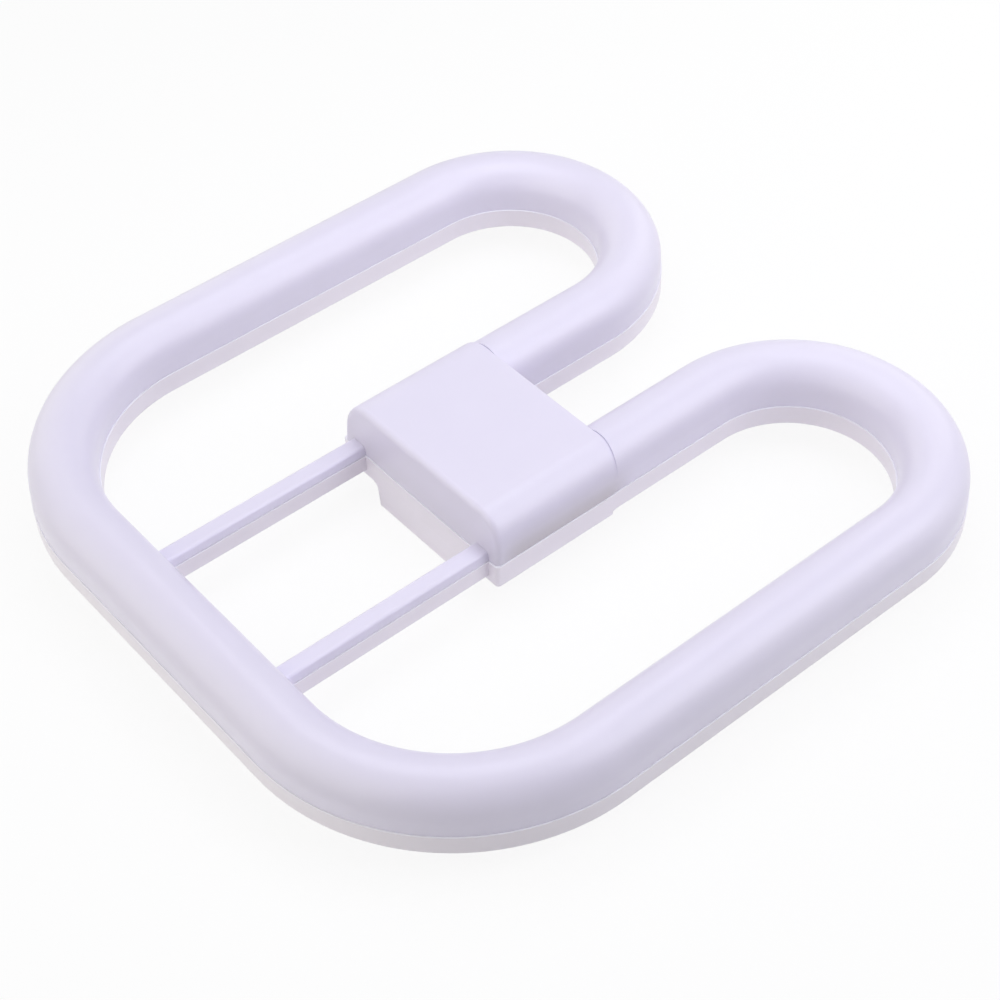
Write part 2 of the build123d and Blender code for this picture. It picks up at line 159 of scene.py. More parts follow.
def route(start_x):
    """Centreline of the tube from stub to stub as points and outward normals.

    Every bend is an arc about its middle, turning left: point = middle + radius * (cos, sin), and the
    normal is the same (cos, sin). Straight runs lie between the ends of the arcs.
    """
    bends = [
        (loop_x, loop_y, loop_radius, -90, 90),
        (corner_x, corner_y, corner_radius, 90, 180),
        (corner_x, -corner_y, corner_radius, 180, 270),
        (loop_x, -loop_y, loop_radius, 270, 450),
    ]
    points, normals = [np.array([[start_x, stub_y]])], [np.array([[0.0, -1.0]])]
    for middle_x, middle_y, radius, first, last in bends:
        turn = np.radians(np.linspace(first, last, (last - first) // 2 + 1))
        heading = np.stack([np.cos(turn), np.sin(turn)], 1)
        points.append(np.array([middle_x, middle_y]) + radius * heading)
        normals.append(heading)
    points.append(np.array([[start_x, -stub_y]]))
    normals.append(np.array([[0.0, 1.0]]))
    return np.concatenate(points), np.concatenate(normals)


def along_tube(section, start_x):
    """Tube section of points (across, height), carried along the route at point + across * normal."""
    points, normals = route(start_x)
    plan = points[:, None] + section[None, :, :1] * normals[:, None]
    height = np.broadcast_to(section[None, :, 1:], plan.shape[:2] + (1,))
    return closed_shape(np.concatenate([plan, height], -1))


def box_section(half, bottom, top, foot, rim):
    """Four-cornered section with the two lower and the two upper corners rounded."""
    corners = [(-half, bottom), (half, bottom), (half, top), (-half, top)]
    return rounded(corners, [foot, foot, rim, rim])


def upright(outline, bottom, top, foot=0.0, rim=0.0, steps=6):
    """Plan outline, a function of how far it is drawn in, stood between two heights with rounded edges.

    On a rounded edge the outline is drawn in by radius * (1 - sin) while it climbs by radius * (1 - cos).
    """
    turn = np.linspace(0, np.pi / 2, steps + 1)
    inset, level = np.array([0.0]), np.array([bottom])
    if foot:
        inset, level = foot * (1 - np.sin(turn)), bottom + foot * (1 - np.cos(turn))
    if rim:
        inset = np.append(inset, rim * (1 - np.sin(turn[::-1])))
        level = np.append(level, top - rim * (1 - np.cos(turn[::-1])))
    else:
        inset, level = np.append(inset, 0.0), np.append(level, top)
    plans = np.stack([outline(step) for step in inset])
    height = np.broadcast_to(level[:, None, None], plans.shape[:2] + (1,))
    return closed_shape(np.concatenate([plans, height], -1))


def housing_outline(inset):
    """Plan of the housing: round front corners, straight flanks, and a rear edge swept back to each flank.

    The sweep is an arc that leaves the straight rear edge at its tangent and has drawn back by the sweep
    where it meets the flank, so its radius is (sweep^2 + rise^2) / (2 * sweep).
    """
    front, back, half = inset - housing_front, housing_rear - inset, housing_half - inset
    rise = half - stub_y
    radius = (rear_sweep**2 + rise**2) / (2 * rear_sweep)
    turn = np.linspace(0, np.arcsin(rise / radius), 13)
    left = np.stack([back - radius + radius * np.cos(turn), stub_y + radius * np.sin(turn)], 1)
    right = left[::-1] * [1, -1]
    corners = np.concatenate([left, [[front, half], [front, -half]], right])
    front_round = max(housing_corner - inset, inner_round)
    radii = [0] * len(left) + [front_round] * 2 + [0] * len(right)
    return rounded(corners, radii, steps=12)


def deck_outline(inset, heel=1.0):
    """Plan of the deck, which shares the housing's front and flanks and ends short of its rear edge."""
    front, back, half = inset - housing_front, deck_rear - heel * inset, housing_half - inset
    front_round = max(housing_corner - inset, inner_round)
    radii = [inner_round, front_round, front_round, inner_round]
    return rounded([(back, half), (front, half), (front, -half), (back, -half)], radii, steps=12)


def rib_outline(side, inset):
    """Plan of one tie rib, from inside the cross bar to inside the housing."""
    half = rib_half - inset
    corners = [(rib_root, half), (bar_x, half), (bar_x, -half), (rib_root, -half)]
    return np.array(corners) + [0, side * rib_y]


def ribs(inset, bottom, top, foot=0.0, rim=0.0):
    """Both tie ribs, drawn in by the inset and stood between two heights."""
    return [upright(lambda step: rib_outline(side, inset + step), bottom, top, foot, rim)
            for side in (1, -1)]


def cap_rings(insets, levels, flares):
    """Rings of the cap, each drawn in by its inset: ends that lean out upwards and flare at the root.

    The flare widens the ends and the back and leaves the front in line with the housing.
    """
    lean = (cap_root_half - cap_foot_half) / deck
    rings = []
    for inset, level, flare in zip(insets, levels, flares):
        half = cap_foot_half - inset + lean * level + flare
        front = inset - housing_front
        back = cap_length - housing_front - inset + flare
        corner = max(cap_corner - inset, inner_round)
        outline = rounded([(back, half), (front, half), (front, -half), (back, -half)],
                          [corner, inner_round, inner_round, corner])
        rings.append(np.column_stack([outline, np.full(len(outline), level)]))
    return np.stack(rings)


def round_post(place, radius, bottom, top, steps=32):
    """Upright cylinder: a circle of the radius at the bottom and at the top."""
    turn = np.linspace(0, 2 * np.pi, steps, endpoint=False)
    circle = np.array(place) + radius * np.stack([np.cos(turn), np.sin(turn)], 1)
    return closed_shape(np.stack([np.column_stack([circle, np.full(steps, z)]) for z in (bottom, top)]))


def worked(first, *changes):
    """One closed mesh from shapes that are joined or cut away in turn."""
    blank = bpy.data.objects.new("blank", first)
    bpy.context.scene.collection.objects.link(blank)
    tools = []
    for operation, shape in changes:
        tool = bpy.data.objects.new("tool", shape)
        bpy.context.scene.collection.objects.link(tool)
        change = blank.modifiers.new("change", "BOOLEAN")
        change.operation, change.solver, change.object = operation, "MANIFOLD", tool
        tools.append(tool)
    mesh = bpy.data.meshes.new_from_object(blank.evaluated_get(bpy.context.evaluated_depsgraph_get()))
    for used in [blank, *tools]:
        bpy.data.objects.remove(used)
    return mesh


def moulding(name, mesh):
    """A moulded piece: edges past the crisp angle stay sharp, the rest shade smoothly round flat faces."""
    mesh.name = name
    mesh.materials.clear()
    piece = bpy.data.objects.new(name, mesh)
    bpy.context.scene.collection.objects.link(piece)
    mesh.shade_smooth()
    mesh.set_sharp_from_angle(angle=math.radians(crisp_angle))
    flat = piece.modifiers.new("even faces", "WEIGHTED_NORMAL")
    flat.keep_sharp = True
    return piece


def region(inset, bottom, top):
    """Tube, housing and ribs between two heights, drawn in by the inset, as shapes to join or cut."""
    return [
        along_tube(box_section(tube_half - inset, bottom, top, 0, 0), stub_root),
        upright(lambda step: housing_outline(inset + step), bottom, top),
        *ribs(inset, bottom, top),
    ]


def join(*shapes):
    """Changes that add each shape to a piece."""
    return [("UNION", shape) for shape in shapes]


def cut(*shapes):
    """Changes that take each shape away from a piece."""
    return [("DIFFERENCE", shape) for shape in shapes]


clear = 1.0  # cutting shapes reach this far past what they cut
above = seam + clear

# Insets, levels and flares of the cap's rings: its rounded foot, its flared root, and an end in the deck.
quarter = np.linspace(0, np.pi / 2, 9)
foot_rings = foot_round * (1 - np.sin(quarter)), foot_round * (1 - np.cos(quarter)), 0 * quarter
root_levels = deck - cap_root_fillet * (1 - np.sin(quarter))
root_rings = 0 * quarter, root_levels, cap_root_fillet * (1 - np.cos(quarter))
cap_outside = np.column_stack([foot_rings, root_rings, (0, deck + embed, cap_root_fillet)])
cap_inside = np.column_stack([(cap_wall, -clear, 0), (cap_wall, deck, 0)])

rail_half = 0.6
rail_middle = 4.9
rail_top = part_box("led_board_left")[0][2] / mm
rail_setback = 6.1
rail_start = housing_rear - rail_setback
driver_under, driver_top = (corner[2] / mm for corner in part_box("driver_board"))
post_radius = 2.0
pip_radius = 1.0
pip_height = 0.5
pip_top = driver_top + pip_height
post_places = [(-15.6, 25), (-15.6, -25), (10, 14), (10, -14)]
pin_bore_radius = 1.55
pin_places = [(-8.6, -5), (-8.6, 5), (1.4, -5), (1.4, 5)]
rebate = base_wall - lip_thickness - lip_clearance
hollow_section = box_section(tube_half - base_wall, underside + floor, above, inner_round, 0)
rail_section = box_section(rail_half, deck_floor - embed, rail_top, 0, 0)

base = moulding("moulded_base", worked(
    along_tube(box_section(tube_half, underside, seam, foot_round, rim_round), stub_root),
    *join(upright(housing_outline, underside, seam, foot_round, rim_round)),
    *join(upright(lambda step: deck_outline(step, deck_heel), deck, seam - embed, foot_round)),
    *join(*ribs(0, rib_underside, seam, foot_round, rim_round)),
    *join(closed_shape(cap_rings(*cap_outside))),
    *cut(upright(lambda step: deck_outline(base_wall + step), deck_floor, above)),
    *cut(upright(lambda step: housing_outline(base_wall + step), underside + floor, above)),
    *cut(along_tube(hollow_section, stub_root)),
    *cut(*ribs(base_wall, rib_underside + floor, above)),
    *cut(*region(rebate, seam - lip_depth - lip_clearance, above)),
    *cut(closed_shape(cap_rings(*cap_inside))),
    *join(*[along_tube(rail_section + [side * rail_middle, 0], rail_start) for side in (1, -1)]),
    *join(*[round_post(place, post_radius, deck_floor - embed, driver_under) for place in post_places]),
    *join(*[round_post(place, pip_radius, driver_under - embed, pip_top) for place in post_places]),
    *cut(*[round_post(place, pin_bore_radius, deck - clear, deck_floor + clear) for place in pin_places]),
))


def linear(code):
    """An sRGB hex colour as linear light: c / 12.92 up to 0.04045, and ((c + 0.055) / 1.055)^2.4 above."""
    c = np.array([int(code[k:k + 2], 16) for k in (1, 3, 5)]) / 255
    return (*np.where(c <= 0.04045, c / 12.92, ((c + 0.055) / 1.055) ** 2.4), 1.0)


def add(tree, kind, sockets=None, **settings):
    """One node with its settings; a socket takes a value or the output of another node."""
    node = tree.nodes.new(kind)
    for name, value in settings.items():
        setattr(node, name, value)
    for name, value in (sockets or {}).items():
        if isinstance(value, bpy.types.NodeSocket):
            tree.links.new(value, node.inputs[name])
        else:
            node.inputs[name].default_value = value
    return node


def new_material(name, sockets=None):
    """A material with one shader; the piece's own coordinates come back with it to draw patterns on."""
    material = bpy.data.materials.new(name)
    material.use_nodes = True
    tree = material.node_tree
    tree.nodes.clear()
    place = add(tree, "ShaderNodeTexCoord").outputs["Object"]
    skin = add(tree, "ShaderNodeBsdfPrincipled", sockets)
    add(tree, "ShaderNodeOutputMaterial", {"Surface": skin.outputs[0]})
    return material, tree, skin, place


def clouded(tree, place, colour, other, size):
    """Two colours mixed by soft clouds of a size in millimetres."""
    cloud = add(tree, "ShaderNodeTexNoise", {"Vector": place, "Scale": 1 / (size * mm)})
    colours = {0: cloud.outputs["Fac"], 6: linear(colour), 7: linear(other)}
    return add(tree, "ShaderNodeMix", colours, data_type="RGBA").outputs[2]


def grained(tree, skin, place, size, depth, smooth, rough):
    """Grain of a size in millimetres that spreads the roughness, and lifts the surface if it has a depth."""
    grain = add(tree, "ShaderNodeTexNoise", {"Vector": place, "Scale": 1 / (size * mm)}).outputs["Fac"]
    spread = add(tree, "ShaderNodeMapRange", {"Value": grain, "To Min": smooth, "To Max": rough})
    tree.links.new(spread.outputs["Result"], skin.inputs["Roughness"])
    if depth:
        bump = add(tree, "ShaderNodeBump", {"Height": grain, "Distance": depth * mm})
        tree.links.new(bump.outputs["Normal"], skin.inputs["Normal"])


polycarbonate_ior = 1.58
mould_clouds = 14
mould_grain = 0.8  # the mould's grain is about 0.3 mm, and is drawn coarser so that it shows
mould_grain_depth = 0.003


def white_polycarbonate():
    """Opaque, slightly cool white with the even satin of a spark-eroded mould and faint cooling clouds.

    The rim is painted brighter, a painted highlight that draws a thin line along the seam.
    """
    material, tree, skin, place = new_material("white polycarbonate", {"IOR": polycarbonate_ior})
    height = add(tree, "ShaderNodeSeparateXYZ", {0: place}).outputs["Z"]
    rim = add(tree, "ShaderNodeMapRange", {
        "Value": height, "From Min": (seam - painted_rim_highlight) * mm, "From Max": (seam - painted_rim_highlight / 2) * mm,
    }).outputs["Result"]
    white = clouded(tree, place, "#EFE9F2", "#ECE6EF", size=mould_clouds)
    # Painted highlight: the band under the seam is mixed towards a brighter white.
    colours = add(tree, "ShaderNodeMix", {0: rim, 6: white, 7: linear("#F6F4FD")}, data_type="RGBA")
    tree.links.new(colours.outputs[2], skin.inputs["Base Color"])
    grained(tree, skin, place, size=mould_grain, depth=mould_grain_depth, smooth=0.32, rough=0.40)
    return material


base.data.materials.append(white_polycarbonate())
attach(base, "root")
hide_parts("base_shell")


# Contact pins
# Four brass pins, turned on a lathe and plated with nickel, are pressed up through the deck inside the cap
# and soldered to the driver board.
def dress(material, *names):
    """Give CAD pieces their material."""
    for name in names:
        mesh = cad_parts[name].data
        mesh.materials.clear()
        mesh.materials.append(material)


def wave_scale(pitch):
    """Scale of a wave texture, which turns by 20 radians in each of its units, for bands a pitch apart."""
    return 2 * math.pi / (20 * pitch * mm)


def plated_brass():
    """Warm silver with fine turning rings: the lathe's feed of 0.1 mm, drawn at 0.4 mm so that it shows."""
    material, tree, skin, place = new_material("nickel-plated brass", {"Metallic": 1.0})
    tree.links.new(clouded(tree, place, "#CFC8B8", "#BDB5A0", size=3), skin.inputs["Base Color"])
    grained(tree, skin, place, size=0.5, depth=0, smooth=0.18, rough=0.30)
    rings = add(tree, "ShaderNodeTexWave", {"Vector": place, "Scale": wave_scale(0.4)}, bands_direction="Z")
    bump = add(tree, "ShaderNodeBump", {"Height": rings.outputs["Fac"], "Distance": 0.01 * mm})
    tree.links.new(bump.outputs["Normal"], skin.inputs["Normal"])
    return material


dress(plated_brass(), *[f"contact_pin_{k}" for k in (1, 2, 3, 4)])


# LED boards
# Two strips of 1 mm aluminium, stamped to the tube's route and coated with white solder mask on top. They
# rest on the rails of the base.
mask_depth = 0.1  # the white reaches this far down the edges


def masked_aluminium():
    """Bright white lacquer over bare metal that shows at the stamped edges and underneath."""
    material, tree, skin, place = new_material("white mask on aluminium")
    height = add(tree, "ShaderNodeSeparateXYZ", {0: place}).outputs["Z"]
    mask_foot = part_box("led_board_left")[1][2] - mask_depth * mm
    coated = add(tree, "ShaderNodeMath", {0: height, 1: mask_foot}, operation="GREATER_THAN").outputs[0]
    lacquer = clouded(tree, place, "#F4F2EC", "#EEECE4", size=5)
    metal = clouded(tree, place, "#B9BABD", "#A9AAAE", size=2)
    colours = add(tree, "ShaderNodeMix", {0: coated, 6: metal, 7: lacquer}, data_type="RGBA")
    bare = add(tree, "ShaderNodeMath", {0: 1.0, 1: coated}, operation="SUBTRACT")
    tree.links.new(colours.outputs[2], skin.inputs["Base Color"])
    tree.links.new(bare.outputs[0], skin.inputs["Metallic"])
    grained(tree, skin, place, size=0.6, depth=0.004, smooth=0.30, rough=0.42)
    return material


dress(masked_aluminium(), "led_board_left", "led_board_right")


# LEDs
# White moulded packages, soldered in a row along each board. Each has a window of yellow phosphor sunk into
# its top.
window_sink = 0.05  # the phosphor lies further than this below the rim
window_facing = 0.5  # and faces up by more than this


def phosphor_package():
    """Matt white round a yellow window, which lies a little below the rim."""
    material, tree, skin, place = new_material("phosphor in a white package")
    height = add(tree, "ShaderNodeSeparateXYZ", {0: place}).outputs["Z"]
    normal = add(tree, "ShaderNodeNewGeometry").outputs["Normal"]
    upward = add(tree, "ShaderNodeSeparateXYZ", {0: normal}).outputs["Z"]
    window_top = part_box("leds_left")[1][2] - window_sink * mm
    sunk = add(tree, "ShaderNodeMath", {0: height, 1: window_top}, operation="LESS_THAN").outputs[0]
    flat = add(tree, "ShaderNodeMath", {0: upward, 1: window_facing}, operation="GREATER_THAN").outputs[0]
    window = add(tree, "ShaderNodeMath", {0: sunk, 1: flat}, operation="MULTIPLY").outputs[0]
    body = clouded(tree, place, "#F1EFE8", "#E9E6DC", size=1)
    phosphor = clouded(tree, place, "#E8D23A", "#DDBE2A", size=0.5)
    colours = add(tree, "ShaderNodeMix", {0: window, 6: body, 7: phosphor}, data_type="RGBA")
    tree.links.new(colours.outputs[2], skin.inputs["Base Color"])
    grained(tree, skin, place, size=0.3, depth=0.004, smooth=0.35, rough=0.5)
    return material


dress(phosphor_package(), "leds_left", "leds_right")


# Driver board
# A board of glass epoxy under green solder mask sits on four posts of the base, with the pips of the posts
# melted over it.
def green_mask():
    """Deep green lacquer, lighter over the copper tracks, on a glass weave that shows as a faint relief.

    The weave of 0.2 mm is drawn at 0.6 mm so that it shows.
    """
    material, tree, skin, place = new_material("green mask on glass epoxy", {"Coat Weight": 0.3})
    tracks = add(tree, "ShaderNodeTexBrick", {
        "Vector": place, "Scale": 1 / (4 * mm), "Mortar Size": 0.12,
        "Color1": linear("#1B6B3C"), "Color2": linear("#1F7342"), "Mortar": linear("#0F4A28"),
    })
    tree.links.new(tracks.outputs["Color"], skin.inputs["Base Color"])
    grained(tree, skin, place, size=0.6, depth=0.008, smooth=0.25, rough=0.4)
    return material


dress(green_mask(), "driver_board")


# Driver components
# Leaded and surface-mounted parts soldered to the driver board: a transformer, two electrolytic capacitors,
# a film capacitor, an input choke, a varistor, a fuse resistor, a bridge rectifier and a control chip.
can_top_facing = 0.9  # the sleeve leaves bare what faces up by more than this
ring_threshold = 0.9  # the lacquer's rings are drawn where the wave is higher than this
leg_height = 0.25


def ferrite():
    """Sintered oxide: nearly black grey, matt and slightly granular."""
    material, tree, skin, place = new_material("ferrite")
    tree.links.new(clouded(tree, place, "#2C2C2F", "#3A3A3E", size=0.8), skin.inputs["Base Color"])
    grained(tree, skin, place, size=0.4, depth=0.02, smooth=0.6, rough=0.8)
    return material


def polyester_tape():
    """Glossy yellow film wound in layers, with a faint step at each turn."""
    material, tree, skin, place = new_material("polyester tape")
    tree.links.new(clouded(tree, place, "#E3BE2E", "#D9AE22", size=4), skin.inputs["Base Color"])
    grained(tree, skin, place, size=1.5, depth=0, smooth=0.2, rough=0.32)
    layers = add(tree, "ShaderNodeTexWave", {"Vector": place, "Scale": wave_scale(1.5)}, bands_direction="Z")
    bump = add(tree, "ShaderNodeBump", {"Height": layers.outputs["Fac"], "Distance": 0.05 * mm})
    tree.links.new(bump.outputs["Normal"], skin.inputs["Normal"])
    return material


def shrunk_sleeve():
    """Dark vinyl shrunk over an aluminium can, whose bare top stays bright."""
    material, tree, skin, place = new_material("vinyl sleeve on aluminium")
    normal = add(tree, "ShaderNodeNewGeometry").outputs["Normal"]
    upward = add(tree, "ShaderNodeSeparateXYZ", {0: normal}).outputs["Z"]
    bare = add(tree, "ShaderNodeMath", {0: upward, 1: can_top_facing}, operation="GREATER_THAN").outputs[0]
    vinyl = clouded(tree, place, "#23262E", "#2C3039", size=3)
    metal = clouded(tree, place, "#BFC0C3", "#ADAEB2", size=1)
    colours = add(tree, "ShaderNodeMix", {0: bare, 6: vinyl, 7: metal}, data_type="RGBA")
    tree.links.new(colours.outputs[2], skin.inputs["Base Color"])
    tree.links.new(bare, skin.inputs["Metallic"])
    grained(tree, skin, place, size=0.8, depth=0.005, smooth=0.3, rough=0.42)
    return material


def cast_coating(name, colour, other, depth, smooth, rough):
    """Poured or dipped resin: one colour with soft clouds, and a skin that sags a little."""
    material, tree, skin, place = new_material(name)
    tree.links.new(clouded(tree, place, colour, other, size=2), skin.inputs["Base Color"])
    grained(tree, skin, place, size=1.2, depth=depth, smooth=smooth, rough=rough)
    return material


def banded_lacquer():
    """Grey-green lacquer with thin darker rings along the body."""
    material, tree, skin, place = new_material("banded lacquer")
    rings = add(tree, "ShaderNodeTexWave", {"Vector": place, "Scale": wave_scale(1.6)}, bands_direction="X")
    wave = rings.outputs["Fac"]
    thin = add(tree, "ShaderNodeMath", {0: wave, 1: ring_threshold}, operation="GREATER_THAN").outputs[0]
    lacquer = clouded(tree, place, "#8FA393", "#839887", size=1)
    colours = add(tree, "ShaderNodeMix", {0: thin, 6: lacquer, 7: linear("#5B3A22")}, data_type="RGBA")
    tree.links.new(colours.outputs[2], skin.inputs["Base Color"])
    grained(tree, skin, place, size=0.8, depth=0.01, smooth=0.25, rough=0.4)
    return material


def chip_epoxy():
    """Black moulding compound, matt, over tinned legs at its foot."""
    material, tree, skin, place = new_material("epoxy moulding compound")
    height = add(tree, "ShaderNodeSeparateXYZ", {0: place}).outputs["Z"]
    leg_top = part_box("driver_chip")[0][2] + leg_height * mm
    legs = add(tree, "ShaderNodeMath", {0: height, 1: leg_top}, operation="LESS_THAN").outputs[0]
    body = clouded(tree, place, "#1C1C1E", "#262628", size=1)
    tin = clouded(tree, place, "#C8C9CB", "#B4B5B8", size=0.5)
    colours = add(tree, "ShaderNodeMix", {0: legs, 6: body, 7: tin}, data_type="RGBA")
    tree.links.new(colours.outputs[2], skin.inputs["Base Color"])
    tree.links.new(legs, skin.inputs["Metallic"])
    grained(tree, skin, place, size=0.4, depth=0.01, smooth=0.5, rough=0.65)
    return material


dress(ferrite(), "transformer_core", "input_choke")
dress(polyester_tape(), "transformer_winding")
dress(shrunk_sleeve(), "input_capacitor", "output_capacitor")
yellow_box = cast_coating("film capacitor box", "#E0B52C", "#D5A824", depth=0.01, smooth=0.35, rough=0.45)
blue_epoxy = cast_coating("blue dipped epoxy", "#2C5FA8", "#27569A", depth=0.05, smooth=0.15, rough=0.28)
dress(yellow_box, "film_capacitor")
dress(blue_epoxy, "varistor")
dress(banded_lacquer(), "fuse_resistor")
dress(chip_epoxy(), "bridge_rectifier", "driver_chip")


# Leads
# Two pairs of stranded wires in vinyl, red and black, are soldered at the rear edge of the driver board and
# at the end of each LED board.
def vinyl_lead(name, colour, other):
    """Soft glossy vinyl with a faint ripple from the strands under it, drawn at 0.5 mm."""
    material, tree, skin, place = new_material(name)
    tree.links.new(clouded(tree, place, colour, other, size=2), skin.inputs["Base Color"])
    grained(tree, skin, place, size=0.5, depth=0.01, smooth=0.28, rough=0.4)
    return material


for pole, vinyl in (("positive", vinyl_lead("red vinyl", "#B3231F", "#A51D1A")),
                    ("negative", vinyl_lead("black vinyl", "#1D1D1F", "#28282B"))):
    dress(vinyl, f"led_lead_{pole}_left", f"led_lead_{pole}_right")


# Diffuser cover
# The upper half is one thin injection moulding in opal polycarbonate: a half-round crown over the tube and
# a soft-shouldered box over the driver, with the tops of the ribs. A tongue under its edge sits inside the
# rim of the base.
ledge = 0.3
wall = base_wall - ledge
housing_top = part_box("diffuser_cover")[1][2] / mm
housing_step = 0.6  # the housing stands this much higher than the tube
tube_top = housing_top - housing_step
shoulder_radius = 8.7
crown_edge = 1.7
crown_inner_edge = 1.0
crown_lean = 1.3
edge_round = 0.05
groove_width = 0.9
groove_depth = 0.35
rib_rise = 2.6
rib_crown = seam + rib_rise
rib_top_half = 2.3
rib_edge_round = 1.1
rib_foot_round = 0.35
stand_off = 0.02  # shapes that trim or cut along a wall stay clear of it by this

# Painted shade greys the cover fully within the near distances of this middle, and not past the far ones.
painted_shade_middle = np.array([1, 0, 13])
painted_shade_near = np.array([14, 32, 2])
painted_shade_far = np.array([26, 36, 11.5])


def arch(half, bottom, top, edge=0.0, steps=72):
    """Tube section above the seam: straight flanks under a half-round crown, lower corners rounded."""
    turn = np.linspace(0, np.pi, steps + 1)
    crown = np.stack([half * np.cos(turn), top - half + half * np.sin(turn)], 1)
    corners = np.concatenate([[(-half, bottom), (half, bottom)], crown])
    return rounded(corners, [edge, edge] + [0] * len(crown))


def housing_crown(inset, edge, bottom):
    """Top of the housing as rings along X, each the section of flanks, shoulders and flat top.

    Towards the front the section is drawn in by radius * (1 - sin) while x moves on by radius * (1 - cos),
    so the front edge is rolled over with one radius all the way round. The front rings lean back upwards.
    """
    turn = np.linspace(0, np.pi / 2, 13)
    drawn = np.append(edge * (1 - np.sin(turn)), 0.0)
    x = np.append(inset - housing_front + edge * (1 - np.cos(turn)), housing_rear + clear)
    lean = np.append(np.full(len(turn), crown_lean / (housing_top - seam)), 0.0)
    rings = []
    for in_by, place, slope in zip(drawn, x, lean):
        half = housing_half - inset - in_by
        top = housing_top + ledge - inset - in_by
        shoulder = shoulder_radius + ledge - inset - in_by
        section = rounded([(-half, bottom), (half, bottom), (half, top), (-half, top)],
                          [0, 0, shoulder, shoulder], steps=40)
        rings.append(np.column_stack([place + slope * (section[:, 1] - seam), section]))
    return closed_shape(np.stack(rings))


def rib_top(side):
    """Tapered upper half of one tie rib: its rounded section set at both ends.

    Its foot is flush with the base, and the round of the foot leaves a dark seam line between them.
    """
    foot = [(-rib_half, seam), (rib_half, seam)]
    crown = [(rib_top_half, rib_crown), (-rib_top_half, rib_crown)]
    section = rounded(foot + crown, [rib_foot_round] * 2 + [rib_edge_round] * 2) + [side * rib_y, 0]
    ends = [np.column_stack([np.full(len(section), x), section]) for x in (bar_x, rib_root)]
    return closed_shape(np.stack(ends))


def housing_within(inset, bottom, foot=0.0):
    """Upright housing walls drawn in by the inset, to trim the crown and the hollow under it."""
    return upright(lambda step: housing_outline(inset + step), bottom, housing_top + clear, foot)


crown = worked(housing_crown(ledge, crown_edge, seam),
               ("INTERSECT", housing_within(ledge - stand_off, seam, edge_round)))
hollow = worked(housing_crown(base_wall, crown_inner_edge, seam - clear),
                ("INTERSECT", housing_within(base_wall, seam - clear)))
groove_bed = arch(tube_half - ledge + stand_off, seam - clear, tube_top - groove_depth)
groove = worked(housing_within(ledge - groove_width, seam), *cut(along_tube(groove_bed, stub_root)))
tongue_outer = region(base_wall - lip_thickness, seam - lip_depth, seam + embed)
tongue_inner = region(base_wall, seam - lip_depth - clear, above)
tongue = worked(tongue_outer[0], *join(*tongue_outer[1:]), *cut(*tongue_inner))
cover = moulding("moulded_cover", worked(
    along_tube(arch(tube_half - ledge, seam, tube_top, edge_round), stub_root),
    *cut(groove),
    *join(crown, rib_top(1), rib_top(-1)),
    *cut(along_tube(arch(tube_half - base_wall, seam - clear, tube_top - wall), stub_root)),
    *cut(hollow),
    *join(tongue),
))


def opal_polycarbonate():
    """Milky white that light goes a little way into, with the same satin and faint clouds as the base.

    A white board stands behind the crown of the tube, but behind the housing's walls are dark parts. Low on
    those walls, fading over the stubs beside them, the opal is painted greyer: partly for those dark parts,
    partly as painted shade.
    """
    material, tree, skin, place = new_material("opal polycarbonate", {
        "IOR": polycarbonate_ior,
        "Subsurface Weight": 0.2, "Subsurface Radius": (1, 1, 1), "Subsurface Scale": 1.5 * mm,
    })
    middle = painted_shade_middle * mm
    offset = add(tree, "ShaderNodeVectorMath", {0: place, 1: middle}, operation="SUBTRACT").outputs[0]
    apart = add(tree, "ShaderNodeVectorMath", {0: offset}, operation="ABSOLUTE").outputs[0]
    axes = add(tree, "ShaderNodeSeparateXYZ", {0: apart}).outputs
    shade = 1.0
    for axis, near, far in zip("XYZ", painted_shade_near, painted_shade_far):
        fade = add(tree, "ShaderNodeMapRange", {
            "Value": axes[axis], "From Min": near * mm, "From Max": far * mm, "To Min": 1, "To Max": 0,
        }, interpolation_type="SMOOTHSTEP").outputs["Result"]
        shade = add(tree, "ShaderNodeMath", {0: shade, 1: fade}, operation="MULTIPLY").outputs[0]
    milk = clouded(tree, place, "#E6E1F3", "#E3DEF0", size=mould_clouds)
    # Painted shade: the milk turns to this grey where the shade mask is full.
    colours = add(tree, "ShaderNodeMix", {0: shade, 6: milk, 7: linear("#C8C2CA")}, data_type="RGBA")
    tree.links.new(colours.outputs[2], skin.inputs["Base Color"])
    grained(tree, skin, place, size=mould_grain, depth=mould_grain_depth, smooth=0.30, rough=0.38)
    return material


cover.data.materials.append(opal_polycarbonate())
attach(cover, "root")
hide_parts("diffuser_cover")


# Studio
# The lamp stands on its cap on a white floor, in a white tent. The boxes overhead and the window give a
# cool light, those at the sides a warmer one, and the widest, beyond the cross bar, is the brightest.
def area_light(name, place, width, level, colour):
    """A square soft box aimed at the origin, where it lights a white card that faces it to the given level.

    Its power is level * (pi * distance)^2.
    """
    data = bpy.data.lights.new(name, "AREA")
    data.size = width * mm
    data.color = colour
    lamp = bpy.data.objects.new(name, data)
    bpy.context.scene.collection.objects.link(lamp)
    lamp.location = Vector(place) * mm
    data.energy = level * math.pi**2 * lamp.location.length_squared
    lamp.rotation_euler = (-lamp.location).to_track_quat("-Z", "Y").to_euler()


daylight = (0.90, 0.91, 1.00)
lamplight = (1.00, 0.99, 0.90)
area_light("top box", (0, 0, 650), width=800, level=0.35, colour=daylight)
area_light("near top box", (60, 80, 380), width=300, level=0.28, colour=daylight)
area_light("window", (310, -390, 500), width=450, level=0.32, colour=daylight)
area_light("back box", (0, 650, 250), width=600, level=0.16, colour=lamplight)
area_light("right box", (330, 60, 180), width=250, level=0.13, colour=lamplight)
area_light("right front box", (450, -450, 250), width=600, level=0.20, colour=lamplight)
area_light("left box", (-610, 120, 330), width=900, level=0.66, colour=lamplight)


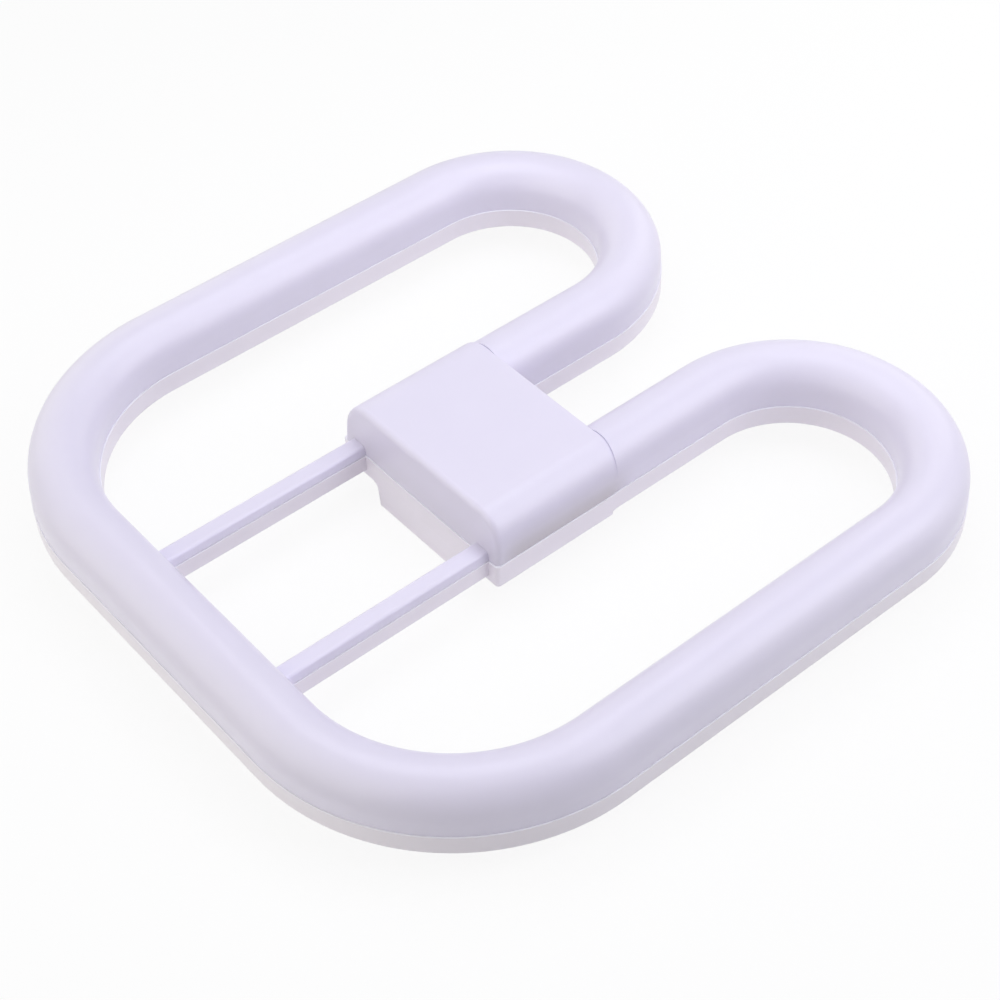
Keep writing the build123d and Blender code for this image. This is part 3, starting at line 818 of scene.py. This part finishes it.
def shown(tree):
    """One for rays that show the background to the camera, in gloss or through glass, and else zero."""
    rays = add(tree, "ShaderNodeLightPath").outputs
    mirrored = add(tree, "ShaderNodeMath", {0: rays["Is Glossy Ray"], 1: rays["Is Transmission Ray"]})
    seen = {0: rays["Is Camera Ray"], 1: mirrored.outputs[0]}
    return add(tree, "ShaderNodeMath", seen, use_clamp=True).outputs[0]


world = bpy.data.worlds.new("white tent")
world.use_nodes = True
bpy.context.scene.world = world
sky = world.node_tree
sky.nodes.clear()
glow = add(sky, "ShaderNodeBackground", {"Color": linear("#FFFFFF"), "Strength": shown(sky)})
add(sky, "ShaderNodeOutputWorld", {"Surface": glow.outputs[0]})

floor_size = 2400
floor_white = 0.88  # share of plain white that the floor shows, beside the paper that takes the shadow
floor_corners = np.array([(-1, -1, 0), (1, -1, 0), (1, 1, 0), (-1, 1, 0)]) * floor_size / 2 * mm
floor_mesh = bpy.data.meshes.new("white floor")
floor_mesh.from_pydata(floor_corners, [], [(0, 1, 2, 3)])
ground = bpy.data.objects.new("white_floor", floor_mesh)
bpy.context.scene.collection.objects.link(ground)
paper = bpy.data.materials.new("white paper")
paper.use_nodes = True
sheet = paper.node_tree
sheet.nodes.clear()
share = add(sheet, "ShaderNodeMath", {0: shown(sheet), 1: floor_white}, operation="MULTIPLY")
matt = add(sheet, "ShaderNodeBsdfDiffuse", {"Color": linear("#FCFCFC")})
white = add(sheet, "ShaderNodeEmission", {"Color": linear("#FFFFFF"), "Strength": 1.0})
mixed = add(sheet, "ShaderNodeMixShader", {0: share.outputs[0], 1: matt.outputs[0], 2: white.outputs[0]})
add(sheet, "ShaderNodeOutputMaterial", {"Surface": mixed.outputs[0]})
floor_mesh.materials.append(paper)


# Camera
# A long lens looks down on the cross bar and the near long side from about 0.55 m.
azimuth, elevation, roll = -38.557, 45.454, -2.12
aim = (0.914, -6.010, 4.635)
distance = 548.8
focal_pixels = 2065.3
image_width = 1000
a, e = math.radians(azimuth), math.radians(elevation)
back = Vector((math.sin(a) * math.cos(e), -math.cos(a) * math.cos(e), math.sin(e)))
camera_data = bpy.data.cameras.new("camera")
camera_data.sensor_width = 36
camera_data.lens = camera_data.sensor_width * focal_pixels / image_width
camera_data.clip_start, camera_data.clip_end = 0.01, 100
camera = bpy.data.objects.new("camera", camera_data)
bpy.context.scene.collection.objects.link(camera)
camera.location = (Vector(aim) + back * distance) * mm
turn = (-back).to_track_quat("-Z", "Y") @ Quaternion((0, 0, 1), math.radians(roll))
camera.rotation_euler = turn.to_euler()
bpy.context.scene.camera = camera
bpy.context.scene.view_settings.view_transform = "Standard"
